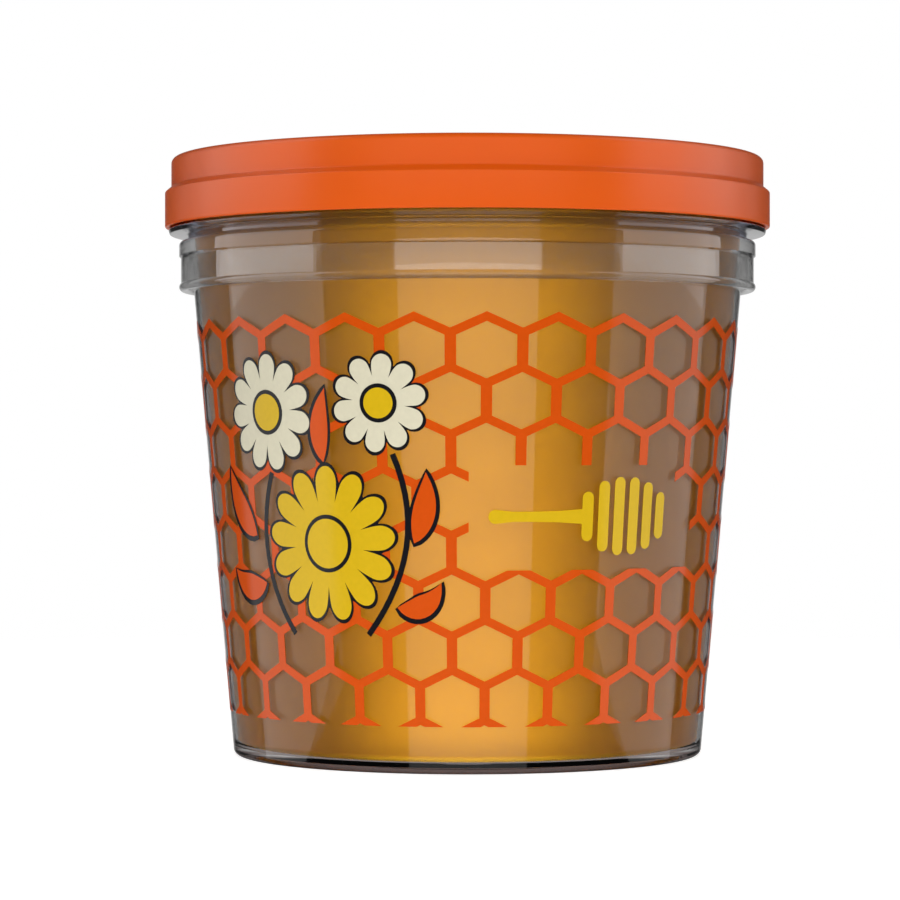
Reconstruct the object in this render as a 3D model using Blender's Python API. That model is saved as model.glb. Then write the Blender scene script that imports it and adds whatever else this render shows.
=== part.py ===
"""Honey pail: a clear tapered tub with a snap-fit lid, filled with honey.

Every piece is a turned form, so each is drawn as half a cross section, from the axis
out and back to the axis, and spun round the upright axis.

The named sizes are in millimetres. Heights are counted from the plane the pail stands on,
which is also where the origin lies, under the middle of the tub.
"""

import math

import bmesh
import bpy

MM = 0.001

# Tub body
BASE_RADIUS = 44.4          # outside of the wall where it meets the standing plane
WALL_DRAFT = 4.94           # degrees that the wall leans outwards
TUB_WALL = 0.9
FLOOR_THICKNESS = 1.0
FOOT_RING_LIFT = 0.9        # how far the foot ring keeps the floor off the table
FOOT_RING_WIDTH = 2.2       # flat ring that the pail stands on
FOOT_CORNER = 1.2           # outside rounding between wall and foot ring
FLOOR_CORNER = 1.6          # inside rounding between wall and floor
GATE_DIMPLE_RADIUS = 4.5    # hollow round the mark left by the injection point
GATE_DIMPLE_DEPTH = 0.4
GATE_MARK_RADIUS = 1.1
GATE_MARK_HEIGHT = 0.3

# Stiffening skirt round the top of the tub
SKIRT_TOP = 97.2            # height of the shelf that the skirt hangs from
SHELF_THICKNESS = 2.8
SKIRT_GAP = 0.9             # open space between wall and skirt under the shelf
SKIRT_WALL = 1.0
SKIRT_LENGTH = 9.5          # shelf top down to the lowest point of the bead
SHELF_ROUNDING = 1.0
BEAD_PROUD = 0.35           # how far shelf edge and bead stand out from the skirt's faces

# Neck, guard flange and rim
NECK_WALL = 1.3
FLANGE_GROOVE = 1.3         # open groove between shelf and flange
FLANGE_THICKNESS = 1.0
FLANGE_REACH = 3.7          # flange edge outside the neck
FLANGE_EDGE_SLOPE = 0.3     # how far the flange edge leans in towards its underside
NECK_HEIGHT = 12.2          # flange top up to the rim
RIM_LIP_REACH = 1.2         # lip outside the neck, which the lid snaps under
RIM_LIP_HEIGHT = 1.4
RIM_ROUNDING = 0.85

# Lid
LID_WALL = 1.0
LID_SEAT_GAP = 0.3          # rim to lid, and flange to lid
SNAP_CLEARANCE = 0.3        # rim lip to snap bead
SNAP_BEAD = 0.6             # how far the snap bead stands in from the lid's wall
SNAP_BEAD_HALF_HEIGHT = 0.7
BAND_STEP = 1.2             # lower band of the lid outside its upper band
BAND_HEIGHT = 6.0           # plain part of the lower band
BAND_CHAMFER = 1.9          # height of the slope between the bands
LID_CORNER = 1.1
PLUG_CLEARANCE = 0.3        # neck bore to the lid's plug
PLUG_LIP_DROP = 1.5         # sealing lip below the lid's panel
PANEL_DEPTH = 4.0           # lid top down to the sunk panel
PANEL_CORNER = 1.2
STACK_RIB_CLEARANCE = 0.6   # foot of a pail standing on the lid to the rib round it
STACK_RIB_WIDTH = 1.2
STACK_RIB_HEIGHT = 1.5

# Small roundings that every moulded edge has
EDGE_ROUNDING = 0.3
ROOT_FILLET = 0.4

# Honey
HEADSPACE = 7.5             # underside of the lid's panel down to the honey
FILL_CLEARANCE = 0.3        # tub to honey
MENISCUS = 1.1              # how far the honey climbs at the wall

# Mesh
TURN_STEPS = 72             # facets in a full turn
ROUNDING_STEPS = 2          # facets in a rounded corner
FINE_ROUNDING = 0.45        # a smaller rounding gets a single facet
BEAD_ARC_STEPS = 6          # facets round the skirt's bead
MENISCUS_STEPS = 3
MERGE_DISTANCE = 0.000001   # metres
SHARP_EDGE = 32             # degrees above which an edge stays crisp

# Heights and radii that follow from the sizes above
SLOPE = math.tan(math.radians(WALL_DRAFT))
WALL_ACROSS = TUB_WALL / math.cos(math.radians(WALL_DRAFT))
FLOOR_TOP = FOOT_RING_LIFT + FLOOR_THICKNESS
FLANGE_BOTTOM = SKIRT_TOP + FLANGE_GROOVE
FLANGE_TOP = FLANGE_BOTTOM + FLANGE_THICKNESS
RIM_TOP = FLANGE_TOP + NECK_HEIGHT
LID_EDGE = FLANGE_TOP + LID_SEAT_GAP
LID_TOP = RIM_TOP + LID_SEAT_GAP + LID_WALL
PANEL_TOP = LID_TOP - PANEL_DEPTH
PANEL_UNDERSIDE = PANEL_TOP - LID_WALL
HONEY_LEVEL = PANEL_UNDERSIDE - HEADSPACE


def wall_outside(height):
    """Outside radius of the tapered wall at a height."""
    return BASE_RADIUS + SLOPE * height


def wall_inside(height):
    """Inside radius of the tapered wall at a height."""
    return wall_outside(height) - WALL_ACROSS


BORE_RADIUS = wall_inside(SKIRT_TOP)
NECK_RADIUS = BORE_RADIUS + NECK_WALL
LIP_RADIUS = NECK_RADIUS + RIM_LIP_REACH
FLANGE_RADIUS = NECK_RADIUS + FLANGE_REACH
SHELF_BOTTOM = SKIRT_TOP - SHELF_THICKNESS
SKIRT_INSIDE = wall_outside(SHELF_BOTTOM) + SKIRT_GAP
SKIRT_RADIUS = SKIRT_INSIDE + SKIRT_WALL
SKIRT_BOTTOM = SKIRT_TOP - SKIRT_LENGTH
BEAD_RADIUS = SKIRT_WALL / 2 + BEAD_PROUD
LID_INSIDE = LIP_RADIUS + SNAP_CLEARANCE + SNAP_BEAD
LID_RADIUS = LID_INSIDE + LID_WALL
BAND_RADIUS = LID_RADIUS + BAND_STEP
PLUG_RADIUS = BORE_RADIUS - PLUG_CLEARANCE
PLUG_INSIDE = PLUG_RADIUS - LID_WALL


def arc(centre, radius, start, end, steps):
    """Points on an arc in the cross section, angles in degrees from straight outwards."""
    points = []
    for step in range(steps + 1):
        angle = math.radians(start + (end - start) * step / steps)
        points.append((centre[0] + radius * math.cos(angle), centre[1] + radius * math.sin(angle)))
    return points


def rounded(corners):
    """The outline through the corners (radius, height, rounding), each turned by a tangent arc.

    A rounding that its two sides are too short for is cut down to what fits them.
    """
    points = []
    for index, (x, y, rounding) in enumerate(corners):
        if rounding == 0 or index in (0, len(corners) - 1):
            points.append((x, y))
            continue
        before = corners[index - 1]
        after = corners[index + 1]
        to_before = math.atan2(before[1] - y, before[0] - x)
        to_after = math.atan2(after[1] - y, after[0] - x)
        half = abs(math.remainder(to_after - to_before, math.tau)) / 2
        shorter = min(math.dist((x, y), before[:2]), math.dist((x, y), after[:2]))
        cut = min(rounding / math.tan(half), 0.49 * shorter)
        radius = cut * math.tan(half)
        middle = to_before + math.remainder(to_after - to_before, math.tau) / 2
        reach = math.hypot(cut, radius)
        centre = (x + reach * math.cos(middle), y + reach * math.sin(middle))
        first = (x + cut * math.cos(to_before), y + cut * math.sin(to_before))
        last = (x + cut * math.cos(to_after), y + cut * math.sin(to_after))
        start = math.degrees(math.atan2(first[1] - centre[1], first[0] - centre[0]))
        end = math.degrees(math.atan2(last[1] - centre[1], last[0] - centre[0]))
        turn = math.remainder(end - start, 360)
        steps = ROUNDING_STEPS if rounding >= FINE_ROUNDING else 1
        points += arc(centre, radius, start, start + turn, steps)
    return points


def tub_outline():
    """Half section of the tub: floor, bore, rim, neck, flange, skirt, wall and foot."""
    inside = rounded([
        (0, FLOOR_TOP, 0),
        (wall_inside(FLOOR_TOP), FLOOR_TOP, FLOOR_CORNER),
        (BORE_RADIUS, SKIRT_TOP, 0),
        (BORE_RADIUS, RIM_TOP, EDGE_ROUNDING),
        (LIP_RADIUS, RIM_TOP, RIM_ROUNDING),
        (LIP_RADIUS, RIM_TOP - RIM_LIP_HEIGHT, EDGE_ROUNDING),
        (NECK_RADIUS, RIM_TOP - RIM_LIP_HEIGHT - RIM_LIP_REACH, ROOT_FILLET),
        (NECK_RADIUS, FLANGE_TOP, 0),
        (FLANGE_RADIUS, FLANGE_TOP, EDGE_ROUNDING),
        (FLANGE_RADIUS - FLANGE_EDGE_SLOPE, FLANGE_BOTTOM, EDGE_ROUNDING),
        (NECK_RADIUS, FLANGE_BOTTOM, ROOT_FILLET),
        (NECK_RADIUS, SKIRT_TOP, ROOT_FILLET),
        (SKIRT_RADIUS + BEAD_PROUD, SKIRT_TOP, SHELF_ROUNDING),
        (SKIRT_RADIUS + BEAD_PROUD, SHELF_BOTTOM, 0),
        (SKIRT_RADIUS, SHELF_BOTTOM - BEAD_PROUD, 0),
    ])
    bead_middle = SKIRT_INSIDE + SKIRT_WALL / 2
    bead_height = SKIRT_BOTTOM + BEAD_RADIUS
    bead_neck = math.degrees(math.acos(SKIRT_WALL / 2 / BEAD_RADIUS))
    bead = arc((bead_middle, bead_height), BEAD_RADIUS, bead_neck, -180 - bead_neck, BEAD_ARC_STEPS)
    ring_inside = wall_outside(0) - FOOT_CORNER - FOOT_RING_WIDTH
    below = rounded([
        (bead[-1][0], bead[-1][1], 0),
        (SKIRT_INSIDE, SHELF_BOTTOM, ROOT_FILLET),
        (wall_outside(SHELF_BOTTOM), SHELF_BOTTOM, ROOT_FILLET),
        (wall_outside(0), 0, FOOT_CORNER),
        (ring_inside, 0, EDGE_ROUNDING),
        (ring_inside - FOOT_RING_LIFT, FOOT_RING_LIFT, EDGE_ROUNDING),
        (GATE_DIMPLE_RADIUS + GATE_DIMPLE_DEPTH, FOOT_RING_LIFT, 0),
        (GATE_DIMPLE_RADIUS, FOOT_RING_LIFT + GATE_DIMPLE_DEPTH, 0),
        (GATE_MARK_RADIUS, FOOT_RING_LIFT + GATE_DIMPLE_DEPTH, 0),
        (GATE_MARK_RADIUS, FOOT_RING_LIFT + GATE_DIMPLE_DEPTH - GATE_MARK_HEIGHT, 0),
        (0, FOOT_RING_LIFT + GATE_DIMPLE_DEPTH - GATE_MARK_HEIGHT, 0),
    ])
    return inside + bead + below[1:]


def lid_outline():
    """Half section of the lid, with heights counted from its lower edge."""
    snap_tip = RIM_TOP - RIM_LIP_HEIGHT - RIM_LIP_REACH
    snap_bottom = snap_tip - SNAP_BEAD_HALF_HEIGHT
    band_top = LID_EDGE + BAND_HEIGHT
    band_inside = BAND_RADIUS - LID_WALL
    slope_top = band_top + BAND_CHAMFER
    inner_slope_top = min(slope_top, snap_bottom) - LID_WALL / 2
    lip_bottom = PANEL_UNDERSIDE - PLUG_LIP_DROP
    rib_inside = BASE_RADIUS + STACK_RIB_CLEARANCE
    rib_outside = rib_inside + STACK_RIB_WIDTH
    corners = [
        (0, PANEL_TOP - GATE_DIMPLE_DEPTH + GATE_MARK_HEIGHT, 0),
        (GATE_MARK_RADIUS, PANEL_TOP - GATE_DIMPLE_DEPTH + GATE_MARK_HEIGHT, 0),
        (GATE_MARK_RADIUS, PANEL_TOP - GATE_DIMPLE_DEPTH, 0),
        (GATE_DIMPLE_RADIUS, PANEL_TOP - GATE_DIMPLE_DEPTH, 0),
        (GATE_DIMPLE_RADIUS + GATE_DIMPLE_DEPTH, PANEL_TOP, 0),
        (rib_inside, PANEL_TOP, 0),
        (rib_inside, PANEL_TOP + STACK_RIB_HEIGHT, EDGE_ROUNDING),
        (rib_outside, PANEL_TOP + STACK_RIB_HEIGHT, EDGE_ROUNDING),
        (rib_outside, PANEL_TOP, 0),
        (PLUG_INSIDE, PANEL_TOP, PANEL_CORNER),
        (PLUG_INSIDE, LID_TOP, LID_CORNER),
        (LID_RADIUS, LID_TOP, LID_CORNER),
        (LID_RADIUS, slope_top, ROOT_FILLET),
        (BAND_RADIUS, band_top, ROOT_FILLET),
        (BAND_RADIUS, LID_EDGE, EDGE_ROUNDING),
        (band_inside, LID_EDGE, EDGE_ROUNDING),
        (band_inside, band_top - LID_WALL / 2, 0),
        (LID_INSIDE, inner_slope_top, 0),
        (LID_INSIDE, snap_bottom, 0),
        (LID_INSIDE - SNAP_BEAD, snap_tip, EDGE_ROUNDING),
        (LID_INSIDE, snap_tip + SNAP_BEAD_HALF_HEIGHT, 0),
        (LID_INSIDE, LID_TOP - LID_WALL, EDGE_ROUNDING),
        (PLUG_RADIUS, LID_TOP - LID_WALL, EDGE_ROUNDING),
        (PLUG_RADIUS, lip_bottom + LID_WALL / 2, 0),
        (PLUG_RADIUS - LID_WALL / 2, lip_bottom, 0),
        (PLUG_INSIDE, lip_bottom, EDGE_ROUNDING),
        (PLUG_INSIDE, PANEL_UNDERSIDE, ROOT_FILLET),
        (0, PANEL_UNDERSIDE, 0),
    ]
    return [(radius, height - LID_EDGE) for radius, height in rounded(corners)]


def honey_outline():
    """Half section of the honey, which fills the tub up to its level."""
    bottom = FLOOR_TOP + FILL_CLEARANCE
    side_at_bottom = wall_inside(bottom) - FILL_CLEARANCE
    if HONEY_LEVEL < SKIRT_TOP:
        level_radius = wall_inside(HONEY_LEVEL) - FILL_CLEARANCE
        knee = []
    else:
        level_radius = BORE_RADIUS - FILL_CLEARANCE
        knee = [(level_radius, SKIRT_TOP)]
    meniscus = arc((level_radius - MENISCUS, HONEY_LEVEL + MENISCUS), MENISCUS, -90, 0, MENISCUS_STEPS)
    lower = rounded([
        (meniscus[-1][0], SKIRT_TOP if knee else HONEY_LEVEL, 0),
        (side_at_bottom, bottom, FLOOR_CORNER),
        (0, bottom, 0),
    ])
    return [(0, HONEY_LEVEL)] + meniscus + knee + lower[1:]


def plastic(name, colour, roughness, transmission=0.0):
    """A moulded plastic."""
    made = bpy.data.materials.new(name)
    made.use_nodes = True
    shader = made.node_tree.nodes["Principled BSDF"]
    shader.inputs["Base Color"].default_value = (*colour, 1.0)
    shader.inputs["Roughness"].default_value = roughness
    shader.inputs["Metallic"].default_value = 0.0
    shader.inputs["Transmission Weight"].default_value = transmission
    made.diffuse_color = (*colour, 1.0 - 0.7 * transmission)
    return made


def turned(name, outline, material, parent):
    """A solid made by spinning an outline round the upright axis of its parent."""
    shape = bmesh.new()
    vertices = [shape.verts.new((radius * MM, 0, height * MM)) for radius, height in outline]
    edges = [shape.edges.new(pair) for pair in zip(vertices, vertices[1:])]
    bmesh.ops.spin(shape, geom=vertices + edges, cent=(0, 0, 0), axis=(0, 0, 1),
                   angle=math.tau, steps=TURN_STEPS, use_merge=True)
    bmesh.ops.remove_doubles(shape, verts=shape.verts, dist=MERGE_DISTANCE)
    bmesh.ops.recalc_face_normals(shape, faces=shape.faces)
    mesh = bpy.data.meshes.new(name)
    shape.to_mesh(mesh)
    shape.free()
    mesh.shade_smooth()
    mesh.set_sharp_from_angle(angle=math.radians(SHARP_EDGE))
    mesh.materials.append(material)
    piece = bpy.data.objects.new(name, mesh)
    piece.parent = parent
    bpy.context.scene.collection.objects.link(piece)
    return piece


def pivot(name, height, parent=None):
    """An empty on the upright axis."""
    empty = bpy.data.objects.new(name, None)
    empty.empty_display_size = BASE_RADIUS * MM
    empty.location.z = height * MM
    empty.parent = parent
    bpy.context.scene.collection.objects.link(empty)
    return empty


def clear_scene():
    for old in list(bpy.data.objects):
        bpy.data.objects.remove(old, do_unlink=True)


def main():
    clear_scene()
    pail = pivot("pail", 0)
    lid_travel = pivot("lid_travel", LID_EDGE, pail)
    turned("tub", tub_outline(), plastic("clear_polypropylene", (0.86, 0.87, 0.86), 0.08, 0.95), pail)
    turned("honey", honey_outline(), plastic("amber_honey", (0.58, 0.22, 0.03), 0.12, 0.3), pail)
    turned("lid", lid_outline(), plastic("orange_polyethylene", (0.72, 0.10, 0.01), 0.35), lid_travel)


main()
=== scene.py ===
"""Honey pail: a clear printed tub with an orange snap-fit lid, filled with honey.

The pail stands on its foot with its axis upright, and -Y is the printed front. Named sizes
are in millimetres, heights are counted from the plane that it stands on, and turns are in
degrees round the axis from the front, growing towards +X.
"""

import math

import bmesh
import bpy
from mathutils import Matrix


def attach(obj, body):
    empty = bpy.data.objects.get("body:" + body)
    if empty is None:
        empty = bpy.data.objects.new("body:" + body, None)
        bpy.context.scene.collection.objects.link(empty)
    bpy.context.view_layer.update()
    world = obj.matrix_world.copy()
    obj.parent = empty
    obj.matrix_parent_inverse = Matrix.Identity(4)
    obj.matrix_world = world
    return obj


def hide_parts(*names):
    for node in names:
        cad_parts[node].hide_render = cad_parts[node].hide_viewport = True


bl_info = {
    "name": "Honey Pail",
    "version": (1, 0, 0),
    "blender": (4, 5, 0),
    "location": "View3D > Sidebar > Pail",
    "description": "Builds a printed clear pail with its lid, its honey and a small studio",
    "category": "Add Mesh",
}

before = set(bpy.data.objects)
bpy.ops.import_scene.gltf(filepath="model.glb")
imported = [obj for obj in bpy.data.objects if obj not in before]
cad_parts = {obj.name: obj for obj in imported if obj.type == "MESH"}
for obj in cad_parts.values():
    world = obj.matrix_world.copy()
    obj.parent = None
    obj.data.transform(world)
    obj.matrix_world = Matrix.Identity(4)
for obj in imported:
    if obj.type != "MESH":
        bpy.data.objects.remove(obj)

MM = 0.001

# Tub body
BASE_RADIUS = 44.4          # outside of the wall where it meets the standing plane
WALL_DRAFT = 4.94           # degrees that the wall leans outwards
TUB_WALL = 0.9
FLOOR_THICKNESS = 1.0
FOOT_RING_LIFT = 0.9        # how far the foot ring keeps the floor off the table
FOOT_RING_WIDTH = 2.2
FOOT_CORNER = 1.2
FLOOR_CORNER = 1.6
GATE_DIMPLE_RADIUS = 4.5    # hollow round the mark left by the injection point
GATE_DIMPLE_DEPTH = 0.4
GATE_MARK_RADIUS = 1.1
GATE_MARK_HEIGHT = 0.3

# Stiffening skirt round the top of the tub
SKIRT_TOP = 97.2
SHELF_THICKNESS = 2.8
SKIRT_GAP = 0.9
SKIRT_WALL = 1.0
SKIRT_LENGTH = 9.5
SHELF_ROUNDING = 1.0
BEAD_PROUD = 0.35

# Neck, guard flange and rim
NECK_WALL = 1.3
FLANGE_GROOVE = 1.3
FLANGE_THICKNESS = 1.0
FLANGE_REACH = 3.7
FLANGE_EDGE_SLOPE = 0.3
NECK_HEIGHT = 12.2
RIM_LIP_REACH = 1.2
RIM_LIP_HEIGHT = 1.4
RIM_ROUNDING = 0.85

# Lid
LID_WALL = 1.0
LID_SEAT_GAP = 0.3
SNAP_CLEARANCE = 0.3
SNAP_BEAD = 0.6
SNAP_BEAD_HALF_HEIGHT = 0.7
BAND_STEP = 1.2
BAND_HEIGHT = 6.6
BAND_CHAMFER = 1.0
LID_CORNER = 1.1
PLUG_CLEARANCE = 0.3
PLUG_LIP_DROP = 1.5
PANEL_DEPTH = 4.0
PANEL_CORNER = 1.2
STACK_RIB_CLEARANCE = 0.6
STACK_RIB_WIDTH = 1.2
STACK_RIB_HEIGHT = 1.5

# Small roundings that every moulded edge has
EDGE_ROUNDING = 0.3
ROOT_FILLET = 0.4

# Honey
HEADSPACE = 7.5
FILL_CLEARANCE = 0.03       # the honey wets the wall
MENISCUS = 1.1

# Fineness of the turned surfaces
ROUNDING_STEPS = 7          # facets in a rounded corner
BEAD_ARC_STEPS = 20
MENISCUS_STEPS = 8
SHARP_EDGE = 32             # degrees above which an edge stays crisp
MERGE_DISTANCE = 0.001      # millimetres

# Heights and radii that follow from the sizes above
SLOPE = math.tan(math.radians(WALL_DRAFT))
WALL_ACROSS = TUB_WALL / math.cos(math.radians(WALL_DRAFT))
FLOOR_TOP = FOOT_RING_LIFT + FLOOR_THICKNESS
FLANGE_BOTTOM = SKIRT_TOP + FLANGE_GROOVE
FLANGE_TOP = FLANGE_BOTTOM + FLANGE_THICKNESS
RIM_TOP = FLANGE_TOP + NECK_HEIGHT
LID_EDGE = FLANGE_TOP + LID_SEAT_GAP
LID_TOP = RIM_TOP + LID_SEAT_GAP + LID_WALL
PANEL_TOP = LID_TOP - PANEL_DEPTH
PANEL_UNDERSIDE = PANEL_TOP - LID_WALL
HONEY_LEVEL = PANEL_UNDERSIDE - HEADSPACE


def wall_outside(height):
    """Outside radius of the tapered wall at a height."""
    return BASE_RADIUS + SLOPE * height


def wall_inside(height):
    """Inside radius of the tapered wall at a height."""
    return wall_outside(height) - WALL_ACROSS


BORE_RADIUS = wall_inside(SKIRT_TOP)
NECK_RADIUS = BORE_RADIUS + NECK_WALL
LIP_RADIUS = NECK_RADIUS + RIM_LIP_REACH
FLANGE_RADIUS = NECK_RADIUS + FLANGE_REACH
SHELF_BOTTOM = SKIRT_TOP - SHELF_THICKNESS
SKIRT_INSIDE = wall_outside(SHELF_BOTTOM) + SKIRT_GAP
SKIRT_RADIUS = SKIRT_INSIDE + SKIRT_WALL
SKIRT_BOTTOM = SKIRT_TOP - SKIRT_LENGTH
BEAD_RADIUS = SKIRT_WALL / 2 + BEAD_PROUD
LID_INSIDE = LIP_RADIUS + SNAP_CLEARANCE + SNAP_BEAD
LID_RADIUS = LID_INSIDE + LID_WALL
BAND_RADIUS = LID_RADIUS + BAND_STEP
PLUG_RADIUS = BORE_RADIUS - PLUG_CLEARANCE
PLUG_INSIDE = PLUG_RADIUS - LID_WALL


def arc(centre, radius, start, end, steps):
    """Points on an arc in the cross section, angles in degrees from straight outwards."""
    points = []
    for step in range(steps + 1):
        angle = math.radians(start + (end - start) * step / steps)
        points.append((centre[0] + radius * math.cos(angle), centre[1] + radius * math.sin(angle)))
    return points


def rounded(corners):
    """The outline through the corners (radius, height, rounding), each turned by a tangent arc.

    A rounding that its two sides are too short for is cut down to what fits them.
    """
    points = []
    for index, (x, y, rounding) in enumerate(corners):
        if rounding == 0 or index in (0, len(corners) - 1):
            points.append((x, y))
            continue
        before = corners[index - 1]
        after = corners[index + 1]
        to_before = math.atan2(before[1] - y, before[0] - x)
        to_after = math.atan2(after[1] - y, after[0] - x)
        half = abs(math.remainder(to_after - to_before, math.tau)) / 2
        shorter = min(math.dist((x, y), before[:2]), math.dist((x, y), after[:2]))
        cut = min(rounding / math.tan(half), 0.49 * shorter)
        radius = cut * math.tan(half)
        middle = to_before + math.remainder(to_after - to_before, math.tau) / 2
        reach = math.hypot(cut, radius)
        centre = (x + reach * math.cos(middle), y + reach * math.sin(middle))
        first = (x + cut * math.cos(to_before), y + cut * math.sin(to_before))
        last = (x + cut * math.cos(to_after), y + cut * math.sin(to_after))
        start = math.degrees(math.atan2(first[1] - centre[1], first[0] - centre[0]))
        end = math.degrees(math.atan2(last[1] - centre[1], last[0] - centre[0]))
        points += arc(centre, radius, start, start + math.remainder(end - start, 360), ROUNDING_STEPS)
    return points


def tub_outline():
    """Half section of the tub: floor, bore, rim, neck, flange, skirt, wall and foot."""
    inside = rounded([
        (0, FLOOR_TOP, 0),
        (wall_inside(FLOOR_TOP), FLOOR_TOP, FLOOR_CORNER),
        (BORE_RADIUS, SKIRT_TOP, 0),
        (BORE_RADIUS, RIM_TOP, EDGE_ROUNDING),
        (LIP_RADIUS, RIM_TOP, RIM_ROUNDING),
        (LIP_RADIUS, RIM_TOP - RIM_LIP_HEIGHT, EDGE_ROUNDING),
        (NECK_RADIUS, RIM_TOP - RIM_LIP_HEIGHT - RIM_LIP_REACH, ROOT_FILLET),
        (NECK_RADIUS, FLANGE_TOP, 0),
        (FLANGE_RADIUS, FLANGE_TOP, EDGE_ROUNDING),
        (FLANGE_RADIUS - FLANGE_EDGE_SLOPE, FLANGE_BOTTOM, EDGE_ROUNDING),
        (NECK_RADIUS, FLANGE_BOTTOM, ROOT_FILLET),
        (NECK_RADIUS, SKIRT_TOP, ROOT_FILLET),
        (SKIRT_RADIUS + BEAD_PROUD, SKIRT_TOP, SHELF_ROUNDING),
        (SKIRT_RADIUS + BEAD_PROUD, SHELF_BOTTOM, 0),
        (SKIRT_RADIUS, SHELF_BOTTOM - BEAD_PROUD, 0),
    ])
    bead_middle = SKIRT_INSIDE + SKIRT_WALL / 2
    bead_height = SKIRT_BOTTOM + BEAD_RADIUS
    bead_neck = math.degrees(math.acos(SKIRT_WALL / 2 / BEAD_RADIUS))
    bead = arc((bead_middle, bead_height), BEAD_RADIUS, bead_neck, -180 - bead_neck, BEAD_ARC_STEPS)
    ring_inside = wall_outside(0) - FOOT_CORNER - FOOT_RING_WIDTH
    below = rounded([
        (bead[-1][0], bead[-1][1], 0),
        (SKIRT_INSIDE, SHELF_BOTTOM, ROOT_FILLET),
        (wall_outside(SHELF_BOTTOM), SHELF_BOTTOM, ROOT_FILLET),
        (wall_outside(0), 0, FOOT_CORNER),
        (ring_inside, 0, EDGE_ROUNDING),
        (ring_inside - FOOT_RING_LIFT, FOOT_RING_LIFT, EDGE_ROUNDING),
        (GATE_DIMPLE_RADIUS + GATE_DIMPLE_DEPTH, FOOT_RING_LIFT, 0),
        (GATE_DIMPLE_RADIUS, FOOT_RING_LIFT + GATE_DIMPLE_DEPTH, 0),
        (GATE_MARK_RADIUS, FOOT_RING_LIFT + GATE_DIMPLE_DEPTH, 0),
        (GATE_MARK_RADIUS, FOOT_RING_LIFT + GATE_DIMPLE_DEPTH - GATE_MARK_HEIGHT, 0),
        (0, FOOT_RING_LIFT + GATE_DIMPLE_DEPTH - GATE_MARK_HEIGHT, 0),
    ])
    return inside + bead + below[1:]


def lid_outline():
    """Half section of the lid in its closed place."""
    snap_tip = RIM_TOP - RIM_LIP_HEIGHT - RIM_LIP_REACH
    snap_bottom = snap_tip - SNAP_BEAD_HALF_HEIGHT
    band_top = LID_EDGE + BAND_HEIGHT
    band_inside = BAND_RADIUS - LID_WALL
    slope_top = band_top + BAND_CHAMFER
    inner_slope_top = min(slope_top, snap_bottom) - LID_WALL / 2
    lip_bottom = PANEL_UNDERSIDE - PLUG_LIP_DROP
    rib_inside = BASE_RADIUS + STACK_RIB_CLEARANCE
    rib_outside = rib_inside + STACK_RIB_WIDTH
    return rounded([
        (0, PANEL_TOP - GATE_DIMPLE_DEPTH + GATE_MARK_HEIGHT, 0),
        (GATE_MARK_RADIUS, PANEL_TOP - GATE_DIMPLE_DEPTH + GATE_MARK_HEIGHT, 0),
        (GATE_MARK_RADIUS, PANEL_TOP - GATE_DIMPLE_DEPTH, 0),
        (GATE_DIMPLE_RADIUS, PANEL_TOP - GATE_DIMPLE_DEPTH, 0),
        (GATE_DIMPLE_RADIUS + GATE_DIMPLE_DEPTH, PANEL_TOP, 0),
        (rib_inside, PANEL_TOP, 0),
        (rib_inside, PANEL_TOP + STACK_RIB_HEIGHT, EDGE_ROUNDING),
        (rib_outside, PANEL_TOP + STACK_RIB_HEIGHT, EDGE_ROUNDING),
        (rib_outside, PANEL_TOP, 0),
        (PLUG_INSIDE, PANEL_TOP, PANEL_CORNER),
        (PLUG_INSIDE, LID_TOP, LID_CORNER),
        (LID_RADIUS, LID_TOP, LID_CORNER),
        (LID_RADIUS, slope_top, ROOT_FILLET),
        (BAND_RADIUS, band_top, ROOT_FILLET),
        (BAND_RADIUS, LID_EDGE, EDGE_ROUNDING),
        (band_inside, LID_EDGE, EDGE_ROUNDING),
        (band_inside, band_top - LID_WALL / 2, 0),
        (LID_INSIDE, inner_slope_top, 0),
        (LID_INSIDE, snap_bottom, 0),
        (LID_INSIDE - SNAP_BEAD, snap_tip, EDGE_ROUNDING),
        (LID_INSIDE, snap_tip + SNAP_BEAD_HALF_HEIGHT, 0),
        (LID_INSIDE, LID_TOP - LID_WALL, EDGE_ROUNDING),
        (PLUG_RADIUS, LID_TOP - LID_WALL, EDGE_ROUNDING),
        (PLUG_RADIUS, lip_bottom + LID_WALL / 2, 0),
        (PLUG_RADIUS - LID_WALL / 2, lip_bottom, 0),
        (PLUG_INSIDE, lip_bottom, EDGE_ROUNDING),
        (PLUG_INSIDE, PANEL_UNDERSIDE, ROOT_FILLET),
        (0, PANEL_UNDERSIDE, 0),
    ])


def honey_outline():
    """Half section of the honey, which fills the tub up to its level."""
    bottom = FLOOR_TOP + FILL_CLEARANCE
    level_radius = BORE_RADIUS - FILL_CLEARANCE
    meniscus = arc((level_radius - MENISCUS, HONEY_LEVEL + MENISCUS), MENISCUS, -90, 0, MENISCUS_STEPS)
    lower = rounded([
        (level_radius, SKIRT_TOP, 0),
        (wall_inside(bottom) - FILL_CLEARANCE, bottom, FLOOR_CORNER),
        (0, bottom, 0),
    ])
    return [(0, HONEY_LEVEL)] + meniscus + lower


# Print, laid out flat: across is the turn times this radius, up is the height
PRINT_RADIUS = 50.0
PRINT_LIFT = 0.03           # wall to the underside of the first layer of ink
PRINT_CUTS = 1              # times that each flat face is split before it is bent
CELL_TURN = 3.55            # turn of a cell's point in the top row
CELL_TOP = 81.2             # height of the top row's points, on the middle of the stroke
CELL_EDGE = 6.08            # upright side of a cell
PRINT_FOOT = 8.55           # the print is cut off level here
WINDOW = (0.0, 49.9, 36.4, 55.0)        # turn from and to, height from and to
WINDOW_NOTCH = (49.0, 57.1, 36.4, 46.0)


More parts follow.
